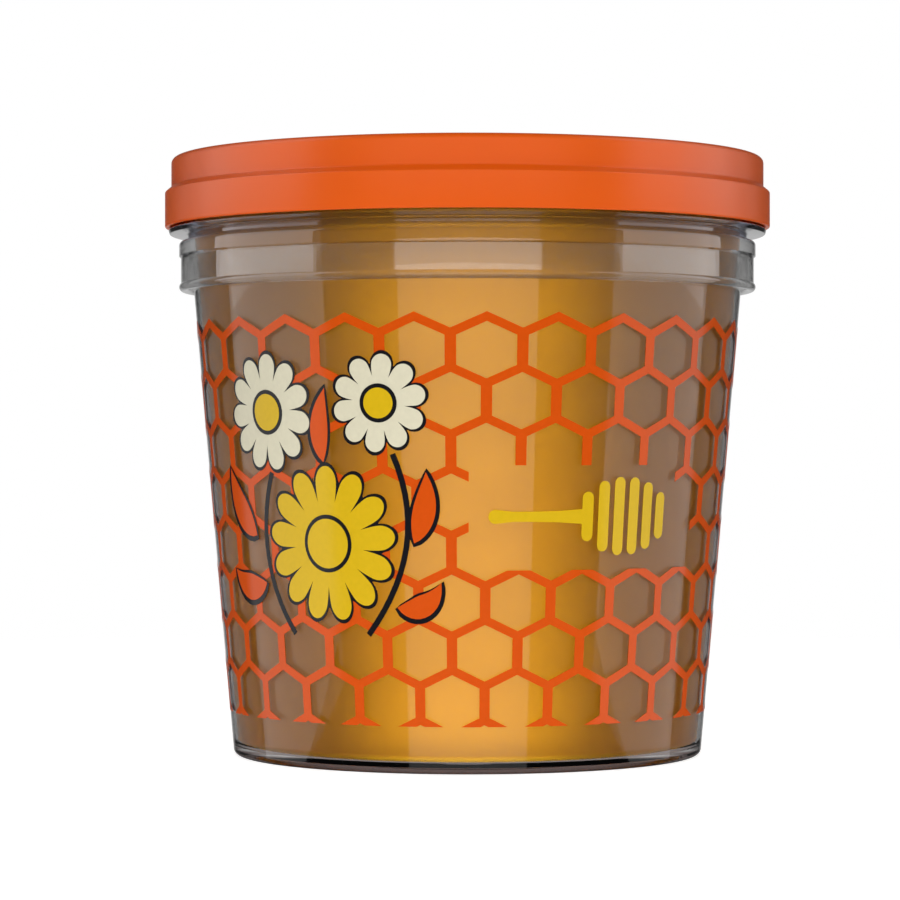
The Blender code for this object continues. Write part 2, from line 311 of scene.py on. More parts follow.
# Heights between which painted shade on the clear plastic, and painted shade and a painted glow on the
# honey, fade in and out
FOOT_PAINTED_SHADE = (1.3, 2.0)      # from the foot ring to the wall
RIM_PAINTED_SHADE = (SKIRT_TOP - 1.0, SKIRT_TOP)
HONEY_PAINTED_SHADE = (12.0, 92.0)   # from the light honey at the foot to the deeper honey above
CORNER_PAINTED_GLOW = (2.2, 3.4)    # from the lower corner of the honey to the rest


def linear(code):
    """An sRGB hex colour as the linear colour that shaders work in."""
    shares = [int(code[at:at + 2], 16) / 255 for at in (1, 3, 5)]
    return tuple(c / 12.92 if c <= 0.04045 else ((c + 0.055) / 1.055) ** 2.4 for c in shares)


class PailSizes(bpy.types.PropertyGroup):
    turn_steps: bpy.props.IntProperty(
        name="Turn Steps", description="Facets in a full turn of each moulding",
        default=240, min=24, max=720)
    cells_around: bpy.props.IntProperty(
        name="Cells Around", description="Honeycomb cells in one row round the tub",
        default=25, min=6, max=60)
    cell_rows: bpy.props.IntProperty(
        name="Cell Rows", description="Rows of cells, the crown and the cut row included",
        default=10, min=2, max=20)
    row_pitch: bpy.props.FloatProperty(
        name="Row Pitch", description="Height from one row of cells to the next",
        default=8.93 * MM, unit="LENGTH", precision=5)
    bar_width: bpy.props.FloatProperty(
        name="Bar Width", description="Width of the upright strokes",
        default=2.0 * MM, unit="LENGTH", precision=5)
    stroke_width: bpy.props.FloatProperty(
        name="Stroke Width", description="Width of the slanted strokes",
        default=1.55 * MM, unit="LENGTH", precision=5)
    ink_film: bpy.props.FloatProperty(
        name="Ink Film", description="Thickness of one layer of ink",
        default=0.05 * MM, unit="LENGTH", precision=6)


class PailColours(bpy.types.PropertyGroup):
    lid: bpy.props.FloatVectorProperty(
        name="Lid", description="Colour of the moulded lid", subtype="COLOR",
        size=3, min=0, max=1, default=linear("#E75C0A"))
    honey: bpy.props.FloatVectorProperty(
        name="Honey", description="Colour of light that has passed through the honey", subtype="COLOR",
        size=3, min=0, max=1, default=linear("#FCAF20"))
    wall: bpy.props.FloatVectorProperty(
        name="Tub Wall", description="What one wall of the tub leaves of white light", subtype="COLOR",
        size=3, min=0, max=1, default=linear("#E4E4E3"))
    # The foot ring colour is painted shade: the plastic's tint darkened as if in the pail's own shadow
    foot: bpy.props.FloatVectorProperty(
        name="Foot Ring", description="What the foot ring leaves of white light", subtype="COLOR",
        size=3, min=0, max=1, default=linear("#8E7C79"))
    # The flange and rim colour is painted shade and a painted reflection: the plastic's tint darkened and
    # turned violet grey by the lid
    rim: bpy.props.FloatVectorProperty(
        name="Flange and Rim", description="What the guard flange and the rim leave of white light",
        subtype="COLOR", size=3, min=0, max=1, default=linear("#BEC1D3"))
    orange_ink: bpy.props.FloatVectorProperty(
        name="Orange Ink", description="Colour of the honeycomb print", subtype="COLOR",
        size=3, min=0, max=1, default=linear("#D44F04"))
    yellow_ink: bpy.props.FloatVectorProperty(
        name="Yellow Ink", description="Colour of the yellow print", subtype="COLOR",
        size=3, min=0, max=1, default=linear("#D8B214"))
    cream_ink: bpy.props.FloatVectorProperty(
        name="Cream Ink", description="Colour of the cream petals", subtype="COLOR",
        size=3, min=0, max=1, default=linear("#DCD6BC"))
    black_ink: bpy.props.FloatVectorProperty(
        name="Black Ink", description="Colour of the outlines", subtype="COLOR",
        size=3, min=0, max=1, default=linear("#17171C"))
    floor: bpy.props.FloatVectorProperty(
        name="Floor", description="Colour of the studio floor", subtype="COLOR",
        size=3, min=0, max=1, default=linear("#F4F4F2"))


class PailStudio(bpy.types.PropertyGroup):
    side_glow: bpy.props.FloatProperty(
        name="Side Panels", description="Radiance of the tall light panels on both sides",
        default=1.75, min=0)
    low_side_glow: bpy.props.FloatProperty(
        name="Low Side Panels", description="Radiance of the panels under them",
        default=0.62, min=0)
    rim_glow: bpy.props.FloatProperty(
        name="Rim Panels", description="Radiance of the panels that the lid's outermost edges mirror",
        default=0.45, min=0)
    front_glow: bpy.props.FloatProperty(
        name="Front Panel", description="Radiance of the low panel under the camera",
        default=0.62, min=0)
    brow_glow: bpy.props.FloatProperty(
        name="Brow Panel", description="Radiance of the narrow strip that the skirt mirrors",
        default=1.9, min=0)
    key_glow: bpy.props.FloatProperty(
        name="Key Panel", description="Radiance of the big panel above the camera",
        default=2.95, min=0)
    rear_glow: bpy.props.FloatProperty(
        name="Rear Panel", description="Radiance of the panel that lights the back",
        default=1.5, min=0)
    back_glow: bpy.props.FloatProperty(
        name="Backdrop", description="Radiance of the lit backdrop behind the honey",
        default=3.2, min=0)
    clear_glow: bpy.props.FloatProperty(
        name="Backdrop behind Plastic", description="Radiance of the backdrop behind clear plastic alone",
        default=0.5, min=0)
    room_glow: bpy.props.FloatProperty(
        name="Room", description="Radiance of the room as seen through the pail",
        default=0.5, min=0)
    far_glow: bpy.props.FloatProperty(
        name="Far Room", description="Radiance of the room beside the pail, as seen through the honey",
        default=1.6, min=0)
    fill: bpy.props.FloatProperty(
        name="Fill", description="Radiance of the room as it lights the pail from outside",
        default=0.18, min=0)


def add(tree, kind, inputs=None, **settings):
    """Adds a node with its settings.

    Inputs are named in a dict, or given in their order in a tuple. Each is a value, or what is
    linked there: a socket, or a node for its first output.
    """
    node = tree.nodes.new(kind)
    for label, value in settings.items():
        setattr(node, label, value)
    given = dict(enumerate(inputs)) if isinstance(inputs, tuple) else inputs or {}
    for label, value in given.items():
        if isinstance(value, bpy.types.Node):
            value = value.outputs[0]
        if isinstance(value, bpy.types.NodeSocket):
            tree.links.new(value, node.inputs[label])
        else:
            node.inputs[label].default_value = value
    return node


def surface(name):
    """An empty material with its output, and the object coordinates in metres."""
    made = bpy.data.materials.new(name)
    made.use_nodes = True
    tree = made.node_tree
    tree.nodes.clear()
    output = add(tree, "ShaderNodeOutputMaterial")
    place = add(tree, "ShaderNodeTexCoord").outputs["Object"]
    return made, tree, output, place


def patches(size):
    """The scale of a noise whose patches are about the size in millimetres."""
    return 1 / (size * MM)


def toned(colour, share=1.0):
    """A colour made lighter or darker, as a socket takes it."""
    return (*[min(1, c * share) for c in colour], 1.0)


def clear_polypropylene(colours):
    """Injection moulded clarified polypropylene: clear, very slightly milky, and glossy.

    The polished mould gives sharp reflections, which the slow waves of the shrunken wall bend a
    little. A thin wall shifts what is behind it hardly at all, so the body's IOR is low and the
    coat has the plastic's own. The foot ring carries painted shade, the pail's own shadow, and the
    neck, flange and rim carry painted shade and a painted reflection of the lid.
    """
    made, tree, output, place = surface("moulded_clear_polypropylene")
    waves = add(tree, "ShaderNodeTexNoise", {"Vector": place, "Scale": patches(26.0), "Detail": 1.0})
    bump = add(tree, "ShaderNodeBump", {"Height": waves, "Strength": 0.04, "Distance": 0.2 * MM})
    haze = add(tree, "ShaderNodeTexNoise", {"Vector": place, "Scale": patches(7.0), "Detail": 3.0})
    height = add(tree, "ShaderNodeSeparateXYZ", (place,)).outputs["Z"]
    # Painted shade: the foot ring is darkened as if it stood in the pail's own shadow
    foot_painted_shade_end = add(tree, "ShaderNodeMapRange", {
        "Value": height, "From Min": FOOT_PAINTED_SHADE[0] * MM, "From Max": FOOT_PAINTED_SHADE[1] * MM,
    }, interpolation_type="SMOOTHSTEP")
    # Painted shade and painted reflection: from the skirt's top up, the plastic is tinted a darker violet
    # grey for the lid's shade and reflection
    rim_painted_shade_start = add(tree, "ShaderNodeMapRange", {
        "Value": height, "From Min": RIM_PAINTED_SHADE[0] * MM, "From Max": RIM_PAINTED_SHADE[1] * MM,
    }, interpolation_type="SMOOTHSTEP")
    tint_and_painted_shade = add(tree, "ShaderNodeMix", {
        "Factor": foot_painted_shade_end, "A": toned(colours.foot), "B": toned(colours.wall)}, data_type="RGBA")
    tint_and_painted_shade = add(tree, "ShaderNodeMix", {
        "Factor": rim_painted_shade_start, "A": tint_and_painted_shade.outputs["Result"], "B": toned(colours.rim)}, data_type="RGBA")
    shader = add(tree, "ShaderNodeBsdfPrincipled", {
        "Base Color": tint_and_painted_shade.outputs["Result"],
        "Roughness": add(tree, "ShaderNodeMapRange", {"Value": haze, "To Min": 0.02, "To Max": 0.05}),
        "IOR": 1.12,
        "Transmission Weight": 1.0,
        "Coat Weight": 1.0,
        "Coat IOR": 1.49,
        "Coat Roughness": 0.02,
        "Normal": bump,
        "Coat Normal": bump,
    })
    # Light falls through the walls onto the honey without a sharp shadow
    open_way = add(tree, "ShaderNodeBsdfTransparent", {"Color": toned(linear("#EEEEEE"))})
    ray = add(tree, "ShaderNodeLightPath").outputs
    mix = add(tree, "ShaderNodeMixShader", (ray["Is Shadow Ray"], shader, open_way))
    tree.links.new(mix.outputs[0], output.inputs["Surface"])
    return made


def amber_honey(colour):
    """Liquid honey: fine crystals and air make it cloudy, so light glows through and no shape shows.

    It is painted darker towards the top, a painted shade, and painted lighter in its lower corner,
    a painted glow.
    """
    made, tree, output, place = surface("cloudy_amber_honey")
    clouds = add(tree, "ShaderNodeTexNoise", {"Vector": place, "Scale": patches(18.0), "Detail": 3.0})
    stretched = add(tree, "ShaderNodeMapping", {"Vector": place, "Scale": (1.0, 1.0, 0.2)})
    streaks = add(tree, "ShaderNodeTexNoise", {"Vector": stretched, "Scale": patches(9.0), "Detail": 3.0})
    mottle = add(tree, "ShaderNodeMix", {"Factor": 0.5, "A": clouds, "B": streaks}, data_type="FLOAT")
    height = add(tree, "ShaderNodeSeparateXYZ", (place,)).outputs["Z"]
    # Painted shade: the honey is made darker towards the top
    painted_top_shade = add(tree, "ShaderNodeMapRange", {
        "Value": height, "From Min": HONEY_PAINTED_SHADE[0] * MM, "From Max": HONEY_PAINTED_SHADE[1] * MM})
    depth = add(tree, "ShaderNodeMix", {"Factor": 0.2, "A": painted_top_shade, "B": mottle}, data_type="FLOAT")
    tone = add(tree, "ShaderNodeMix", {
        "Factor": depth, "A": toned(colour, 1.03), "B": toned(colour, 0.72)}, data_type="RGBA")
    # Painted glow: the honey's lower corner is made 1.6 times as light, as if light gathered there
    corner = add(tree, "ShaderNodeMapRange", {
        "Value": height, "From Min": CORNER_PAINTED_GLOW[0] * MM, "From Max": CORNER_PAINTED_GLOW[1] * MM,
    }, interpolation_type="SMOOTHSTEP")
    tone = add(tree, "ShaderNodeMix", {
        "Factor": corner, "A": toned(colour, 1.6), "B": tone.outputs["Result"]}, data_type="RGBA")
    shader = add(tree, "ShaderNodeBsdfPrincipled", {
        "Base Color": tone.outputs["Result"],
        "Roughness": add(tree, "ShaderNodeMapRange", {"Value": streaks, "To Min": 0.42, "To Max": 0.48}),
        "IOR": 1.45,
        "Specular IOR Level": 0.1,
        "Transmission Weight": 0.85,
    })
    tree.links.new(shader.outputs[0], output.inputs["Surface"])
    return made


def orange_polyethylene(colour):
    """Injection moulded polyethylene: a soft, slightly waxy satin from a finely sparked mould."""
    made, tree, output, place = surface("moulded_orange_polyethylene")
    grain = add(tree, "ShaderNodeTexNoise", {"Vector": place, "Scale": patches(0.22), "Detail": 3.0})
    flow = add(tree, "ShaderNodeTexNoise", {"Vector": place, "Scale": patches(16.0), "Detail": 2.0})
    bump = add(tree, "ShaderNodeBump", {"Height": grain, "Strength": 0.15, "Distance": 0.02 * MM})
    bump = add(tree, "ShaderNodeBump", {
        "Height": flow, "Strength": 0.15, "Distance": 0.2 * MM, "Normal": bump})
    tone = add(tree, "ShaderNodeMix", {
        "Factor": flow, "A": toned(colour, 0.96), "B": toned(colour, 1.03)}, data_type="RGBA")
    shader = add(tree, "ShaderNodeBsdfPrincipled", {
        "Base Color": tone.outputs["Result"],
        "Roughness": add(tree, "ShaderNodeMapRange", {"Value": flow, "To Min": 0.29, "To Max": 0.33}),
        "IOR": 1.51,
        "Subsurface Weight": 0.12,
        "Specular IOR Level": 0.38,
        "Subsurface Radius": (1.0, 0.35, 0.1),
        "Subsurface Scale": 1.2 * MM,
        "Normal": bump,
    })
    tree.links.new(shader.outputs[0], output.inputs["Surface"])
    return made


def printing_ink(name, colour):
    """Cured printing ink: a thin opaque gloss film with a faint mottle from the mesh it came through."""
    made, tree, output, place = surface(name)
    mottle = add(tree, "ShaderNodeTexNoise", {"Vector": place, "Scale": patches(0.9), "Detail": 3.0})
    orange_peel = add(tree, "ShaderNodeTexNoise", {"Vector": place, "Scale": patches(0.5), "Detail": 3.0})
    bump = add(tree, "ShaderNodeBump", {"Height": orange_peel, "Strength": 0.12, "Distance": 0.01 * MM})
    tone = add(tree, "ShaderNodeMix", {
        "Factor": mottle, "A": toned(colour, 0.93), "B": toned(colour, 1.06)}, data_type="RGBA")
    shader = add(tree, "ShaderNodeBsdfPrincipled", {
        "Base Color": tone.outputs["Result"],
        "Roughness": add(tree, "ShaderNodeMapRange", {"Value": mottle, "To Min": 0.12, "To Max": 0.2}),
        "IOR": 1.5,
        "Normal": bump,
    })
    tree.links.new(shader.outputs[0], output.inputs["Surface"])
    return made


def new_tree(name, sizes):
    """A Geometry Nodes tree that takes a mesh and the named sizes and gives a mesh of one material."""
    tree = bpy.data.node_groups.new(name, "GeometryNodeTree")
    tree.interface.new_socket("Geometry", in_out="INPUT", socket_type="NodeSocketGeometry")
    for label, kind in sizes.items():
        tree.interface.new_socket(label, in_out="INPUT", socket_type=kind)
    tree.interface.new_socket("Material", in_out="INPUT", socket_type="NodeSocketMaterial")
    tree.interface.new_socket("Geometry", in_out="OUTPUT", socket_type="NodeSocketGeometry")
    return tree, add(tree, "NodeGroupInput").outputs


def finish_tree(tree, given, geometry):
    """Smooth shading with crisp edges, one material, and real faces in place of instances."""
    real = add(tree, "GeometryNodeRealizeInstances", {"Geometry": geometry})
    smooth = add(tree, "GeometryNodeSetShadeSmooth", {"Geometry": real})
    bend = add(tree, "GeometryNodeInputMeshEdgeAngle")
    crisp = add(tree, "FunctionNodeCompare", (bend.outputs["Unsigned Angle"], math.radians(SHARP_EDGE)))
    edges = add(tree, "GeometryNodeSetShadeSmooth", {
        "Geometry": smooth, "Selection": crisp, "Shade Smooth": False}, domain="EDGE")
    coat = add(tree, "GeometryNodeSetMaterial", {"Geometry": edges, "Material": given["Material"]})
    add(tree, "NodeGroupOutput", {"Geometry": coat})


def line_and_place(tree, per_line):
    """Which line of a grid each point is on, and its place along that line, both from its index."""
    index = add(tree, "GeometryNodeInputIndex")
    middle = add(tree, "ShaderNodeMath", (index, 0.5), operation="ADD")
    share = add(tree, "ShaderNodeMath", (middle, per_line), operation="DIVIDE")
    line = add(tree, "ShaderNodeMath", (share,), operation="FLOOR")
    passed = add(tree, "ShaderNodeMath", (line, per_line), operation="MULTIPLY")
    place = add(tree, "ShaderNodeMath", (index, passed), operation="SUBTRACT")
    return line, place


def turning_tree():
    """Spins an outline, a line of points from the upright axis back to it, round that axis."""
    tree, given = new_tree("turn_outline", {"Steps": "NodeSocketInt"})
    count = add(tree, "GeometryNodeAttributeDomainSize", {"Geometry": given["Geometry"]})
    around = add(tree, "ShaderNodeMath", (given["Steps"], 1), operation="ADD")
    sheet = add(tree, "GeometryNodeMeshGrid", {
        "Vertices X": count.outputs["Point Count"], "Vertices Y": around})
    along, step = line_and_place(tree, around)
    place = add(tree, "GeometryNodeInputPosition")
    point = add(tree, "GeometryNodeSampleIndex", {
        "Geometry": given["Geometry"], "Value": place, "Index": along}, data_type="FLOAT_VECTOR")
    axes = add(tree, "ShaderNodeSeparateXYZ", (point,)).outputs
    turned_by = add(tree, "ShaderNodeMath", (step, math.tau), operation="MULTIPLY")
    angle = add(tree, "ShaderNodeMath", (turned_by, given["Steps"]), operation="DIVIDE")
    cosine = add(tree, "ShaderNodeMath", (angle,), operation="COSINE")
    sine = add(tree, "ShaderNodeMath", (angle,), operation="SINE")
    spun = add(tree, "ShaderNodeCombineXYZ", {
        "X": add(tree, "ShaderNodeMath", (axes["X"], cosine), operation="MULTIPLY"),
        "Y": add(tree, "ShaderNodeMath", (axes["X"], sine), operation="MULTIPLY"),
        "Z": axes["Z"],
    })
    moved = add(tree, "GeometryNodeSetPosition", {"Geometry": sheet, "Position": spun})
    closed = add(tree, "GeometryNodeMergeByDistance", {
        "Geometry": moved, "Distance": MERGE_DISTANCE * MM})
    finish_tree(tree, given, closed)
    return tree


def honeycomb_tree():
    """Sets out a cell and a crown tile in staggered rows, flat, from the top row down."""
    tree, given = new_tree("honeycomb_rows", {
        "Cells": "NodeSocketInt", "Rows": "NodeSocketInt", "Cell Pitch": "NodeSocketFloat",
        "Row Pitch": "NodeSocketFloat", "Start": "NodeSocketFloat", "Crown Height": "NodeSocketFloat"})
    crown = add(tree, "GeometryNodeInputNamedAttribute", {"Name": "crown"}, data_type="BOOLEAN")
    parts = add(tree, "GeometryNodeSeparateGeometry", {
        "Geometry": given["Geometry"], "Selection": crown}, domain="FACE").outputs
    grid = add(tree, "GeometryNodeMeshGrid", {"Vertices X": given["Cells"], "Vertices Y": given["Rows"]})
    column, row = line_and_place(tree, given["Rows"])
    odd = add(tree, "ShaderNodeMath", (row, 2), operation="MODULO")
    shift = add(tree, "ShaderNodeMath", (odd, 0.5), operation="MULTIPLY")
    across = add(tree, "ShaderNodeMath", (column, shift), operation="SUBTRACT")
    reach = add(tree, "ShaderNodeMath", (across, given["Cell Pitch"]), operation="MULTIPLY")
    drop = add(tree, "ShaderNodeMath", (row, given["Row Pitch"]), operation="MULTIPLY")
    centre = add(tree, "ShaderNodeCombineXYZ", {
        "X": add(tree, "ShaderNodeMath", (given["Start"], reach), operation="ADD"),
        "Y": add(tree, "ShaderNodeMath", (given["Crown Height"], drop), operation="SUBTRACT"),
    })
    spots = add(tree, "GeometryNodeSetPosition", {"Geometry": grid, "Position": centre})
    below = add(tree, "FunctionNodeCompare", (row, 0.5))
    top = add(tree, "FunctionNodeBooleanMath", (below,), operation="NOT")
    cells = add(tree, "GeometryNodeInstanceOnPoints", {
        "Points": spots, "Selection": below, "Instance": parts["Inverted"]})
    crowns = add(tree, "GeometryNodeInstanceOnPoints", {
        "Points": spots, "Selection": top, "Instance": parts["Selection"]})
    both = add(tree, "GeometryNodeJoinGeometry", {"Geometry": cells})
    tree.links.new(crowns.outputs[0], both.inputs[0])
    real = add(tree, "GeometryNodeRealizeInstances", {"Geometry": both})
    whole = add(tree, "GeometryNodeMergeByDistance", {"Geometry": real, "Distance": MERGE_DISTANCE * MM})
    finish_tree(tree, given, whole)
    return tree


def ring_tree():
    """Repeats a flat shape round a middle, such as petals round the heart of a flower."""
    tree, given = new_tree("shapes_in_a_ring", {
        "Count": "NodeSocketInt", "Across": "NodeSocketFloat", "Height": "NodeSocketFloat",
        "First Turn": "NodeSocketFloat"})
    points = add(tree, "GeometryNodePoints", {"Count": given["Count"]})
    index = add(tree, "GeometryNodeInputIndex")
    turns = add(tree, "ShaderNodeMath", (index, math.tau), operation="MULTIPLY")
    share = add(tree, "ShaderNodeMath", (turns, given["Count"]), operation="DIVIDE")
    angle = add(tree, "ShaderNodeMath", (share, given["First Turn"]), operation="ADD")
    turn = add(tree, "ShaderNodeCombineXYZ", {"Z": angle})
    rotation = add(tree, "FunctionNodeEulerToRotation", (turn,))
    ring = add(tree, "GeometryNodeInstanceOnPoints", {
        "Points": points, "Instance": given["Geometry"], "Rotation": rotation})
    real = add(tree, "GeometryNodeRealizeInstances", {"Geometry": ring})
    middle = add(tree, "ShaderNodeCombineXYZ", {"X": given["Across"], "Y": given["Height"]})
    placed = add(tree, "GeometryNodeSetPosition", {"Geometry": real, "Offset": middle})
    finish_tree(tree, given, placed)
    return tree


def printing_tree():
    """Wraps a flat print round the tapered wall and gives it the thickness of its ink."""
    tree, given = new_tree("print_on_wall", {
        "Print Radius": "NodeSocketFloat", "Base Radius": "NodeSocketFloat", "Slope": "NodeSocketFloat",
        "Lift": "NodeSocketFloat", "Film": "NodeSocketFloat", "Cuts": "NodeSocketInt"})
    finer = add(tree, "GeometryNodeSubdivideMesh", {"Mesh": given["Geometry"], "Level": given["Cuts"]})
    place = add(tree, "GeometryNodeInputPosition")
    flat = add(tree, "ShaderNodeSeparateXYZ", (place,)).outputs
    turn = add(tree, "ShaderNodeMath", (flat["X"], given["Print Radius"]), operation="DIVIDE")
    leaning = add(tree, "ShaderNodeMath", (flat["Y"], given["Slope"]), operation="MULTIPLY")
    radius = add(tree, "ShaderNodeMath", (given["Base Radius"], leaning), operation="ADD")
    reach = add(tree, "ShaderNodeMath", (radius, given["Lift"]), operation="ADD")
    sine = add(tree, "ShaderNodeMath", (turn,), operation="SINE")
    cosine = add(tree, "ShaderNodeMath", (turn,), operation="COSINE")
    forwards = add(tree, "ShaderNodeMath", (cosine, -1.0), operation="MULTIPLY")
    out = add(tree, "ShaderNodeCombineXYZ", {"X": sine, "Y": forwards})
    level = add(tree, "ShaderNodeCombineXYZ", {"Z": flat["Y"]})
    spread = add(tree, "ShaderNodeVectorMath", {0: out, "Scale": reach}, operation="SCALE")
    wrapped = add(tree, "ShaderNodeVectorMath", (spread, level), operation="ADD")
    outwards = add(tree, "GeometryNodeCaptureAttribute", {"Geometry": finer})
    outwards.capture_items.new("VECTOR", "Outwards")
    tree.links.new(out.outputs[0], outwards.inputs["Outwards"])
    bent = add(tree, "GeometryNodeSetPosition", {
        "Geometry": outwards.outputs["Geometry"], "Position": wrapped})
    joined = add(tree, "GeometryNodeMergeByDistance", {
        "Geometry": bent, "Distance": MERGE_DISTANCE * MM})
    raised = add(tree, "GeometryNodeExtrudeMesh", {
        "Mesh": joined, "Offset": outwards.outputs["Outwards"], "Offset Scale": given["Film"],
        "Individual": False}, mode="FACES")
    back = add(tree, "GeometryNodeFlipFaces", {"Mesh": joined})
    film = add(tree, "GeometryNodeJoinGeometry", {"Geometry": raised})
    tree.links.new(back.outputs[0], film.inputs[0])
    closed = add(tree, "GeometryNodeMergeByDistance", {
        "Geometry": film, "Distance": MERGE_DISTANCE * MM})
    finish_tree(tree, given, closed)
    return tree


def tree_named(name, maker):
    """The tree of that name, built the first time it is asked for."""
    return bpy.data.node_groups.get(name) or maker()


def grown(tree, name, mesh, material, **sizes):
    """Runs a tree on a mesh and gives a plain object made of the result."""
    piece = bpy.data.objects.new(name, mesh)
    bpy.context.scene.collection.objects.link(piece)
    modifier = piece.modifiers.new(tree.name, "NODES")
    modifier.node_group = tree
    keys = {item.name: item.identifier for item in tree.interface.items_tree if item.in_out == "INPUT"}
    for label, value in sizes.items():
        modifier[keys[label.replace("_", " ").title()]] = value
    modifier[keys["Material"]] = material
    bpy.context.view_layer.update()
    graph = bpy.context.evaluated_depsgraph_get()
    result = bpy.data.meshes.new_from_object(piece.evaluated_get(graph), depsgraph=graph)
    result.name = name
    piece.modifiers.remove(modifier)
    piece.data = result
    if not result.polygons:
        raise RuntimeError(f"{name} came out empty")
    return piece


def face_outwards(piece):
    """Turns every face of a closed piece to point outwards."""
    shape = bmesh.new()
    shape.from_mesh(piece.data)
    bmesh.ops.recalc_face_normals(shape, faces=shape.faces)
    if shape.calc_volume(signed=True) < 0:
        bmesh.ops.reverse_faces(shape, faces=shape.faces)
    shape.to_mesh(piece.data)
    shape.free()


def spare(piece):
    """Keeps the light of the front panels off a piece, because only bare polypropylene mirrors them."""
    spared = bpy.data.objects["front_panel"].light_linking.receiver_collection
    spared.objects.link(piece)
    for entry in spared.collection_objects:
        entry.light_linking.link_state = "EXCLUDE"


def turned(name, outline, material):
    """A moulding made by turning its half section round the upright axis."""
    line = bpy.data.meshes.new(name + "_outline")
    points = [(radius * MM, 0, height * MM) for radius, height in outline]
    line.from_pydata(points, [(at, at + 1) for at in range(len(points) - 1)], [])
    steps = bpy.context.scene.pail_sizes.turn_steps
    piece = grown(tree_named("turn_outline", turning_tree), name, line, material, steps=steps)
    face_outwards(piece)
    return piece


def printed(name, flat, ink_name, lift):
    """A layer of ink on the tub's wall, from its flat shape and its lift in millimetres."""
    piece = grown(
        tree_named("print_on_wall", printing_tree), name, flat, ink(ink_name),
        print_radius=PRINT_RADIUS * MM, base_radius=BASE_RADIUS * MM, slope=SLOPE, lift=lift * MM,
        film=bpy.context.scene.pail_sizes.ink_film, cuts=PRINT_CUTS)
    face_outwards(piece)
    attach(piece, "tub")
    spare(piece)
    return piece


def ink(name):
    """The ink of that name, mixed the first time it is asked for."""
    ready = bpy.data.materials.get("gloss_" + name)
    return ready or printing_ink("gloss_" + name, getattr(bpy.context.scene.pail_colours, name))


# Flat shapes of the print, in millimetres on the unrolled wall
CURVE_STEPS = 14            # pieces of a curved stem or leaf
LEAF_FULLEST = 0.85         # below 1 a leaf is widest before its middle
LEAF_BLUNTNESS = 0.8        # below 1 a leaf's ends are blunter


def patch(shape, rows):
    """Adds faces through rows of flat points."""
    lines = [[shape.verts.new((x * MM, y * MM, 0)) for x, y in row] for row in rows]
    for low, high in zip(lines, lines[1:]):
        for corners in zip(low, low[1:], high[1:], high):
            shape.faces.new(corners)


def face_viewer(shape):
    """Turns every face of a flat shape towards whoever looks at the print."""
    for face in shape.faces:
        face.normal_update()
        if face.normal.z < 0:
            face.normal_flip()


def flat_mesh(name, shape):
    """Closes a flat shape's seams, turns it to face the viewer and makes it a mesh."""
    bmesh.ops.remove_doubles(shape, verts=shape.verts, dist=MERGE_DISTANCE * MM)
    face_viewer(shape)
    mesh = bpy.data.meshes.new(name)
    shape.to_mesh(mesh)
    shape.free()
    return mesh


def blob(shape, across, height, reach, rings=3, sides=48):
    """Adds a shape whose edge is at reach(angle) from its middle."""
    rows = []
    for ring in range(rings + 1):
        row = []
        for side in range(sides + 1):
            angle = math.tau * (side % sides) / sides
            radius = reach(angle) * ring / rings
            row.append((across + radius * math.cos(angle), height + radius * math.sin(angle)))
        rows.append(row)
    patch(shape, rows)


def ribbon(shape, points, widths, lanes=2):
    """Adds a band along a line of points, with a half width at each."""
    rows = []
    for at, (x, y) in enumerate(points):
        before = points[max(0, at - 1)]
        after = points[min(len(points) - 1, at + 1)]
        heading = math.atan2(after[1] - before[1], after[0] - before[0]) + math.pi / 2
        row = []
        for lane in range(lanes + 1):
            side = widths[at] * (2 * lane / lanes - 1)
            row.append((x + side * math.cos(heading), y + side * math.sin(heading)))
        rows.append(row)
    patch(shape, rows)


def swung(start, bend, end):
    """Points on a curve from start to end that is pulled towards bend."""
    points = []
    for step in range(CURVE_STEPS + 1):
        t = step / CURVE_STEPS
        points.append(tuple(
            (1 - t) ** 2 * a + 2 * t * (1 - t) * b + t ** 2 * c for a, b, c in zip(start, bend, end)))
    return points


def leaf_widths(half):
    """Half widths of a pointed leaf, full a little before its middle."""
    shares = [step / CURVE_STEPS for step in range(1, CURVE_STEPS)]
    return [0.0, *[half * math.sin(math.pi * share ** LEAF_FULLEST) ** LEAF_BLUNTNESS for share in shares],
            0.0]


def capsule(shape, across, bottom, top, half, sides=8):
    """Adds an upright bar with round ends."""
    rows = []
    for sign, end in ((-1, bottom + half), (1, top - half)):
        turns = range(sides + 1) if sign < 0 else range(sides, -1, -1)
        for turn in turns:
            angle = math.pi / 2 * (1 - turn / sides)
            rows.append((half * math.cos(angle), end + sign * half * math.sin(angle)))
    patch(shape, [[(across - w, y), (across, y), (across + w, y)] for w, y in rows])


def cut_out(shape, left, right, bottom, top):
    """Removes what a flat print has inside a rectangle, with clean straight cuts."""
    edges = ((left, 0, -1, 0), (right, 0, 1, 0), (0, bottom, 0, -1), (0, top, 0, 1))
    for x, y, across, up in edges:
        near = []
        for face in shape.faces:
            xs = [corner.co.x / MM for corner in face.verts]
            ys = [corner.co.y / MM for corner in face.verts]
            if max(xs) > left and min(xs) < right and max(ys) > bottom and min(ys) < top:
                near += [face, *face.edges, *face.verts]
        bmesh.ops.bisect_plane(
            shape, geom=list(dict.fromkeys(near)), dist=MERGE_DISTANCE * MM,
            plane_co=(x * MM, y * MM, 0), plane_no=(across, up, 0))
    inside = []
    for face in shape.faces:
        middle = face.calc_center_median() / MM
        if left < middle.x < right and bottom < middle.y < top:
            inside.append(face)
    bmesh.ops.delete(shape, geom=inside, context="FACES")


def along_wall(turn):
    """Flat place of a turn in degrees."""
    return math.radians(turn) * PRINT_RADIUS


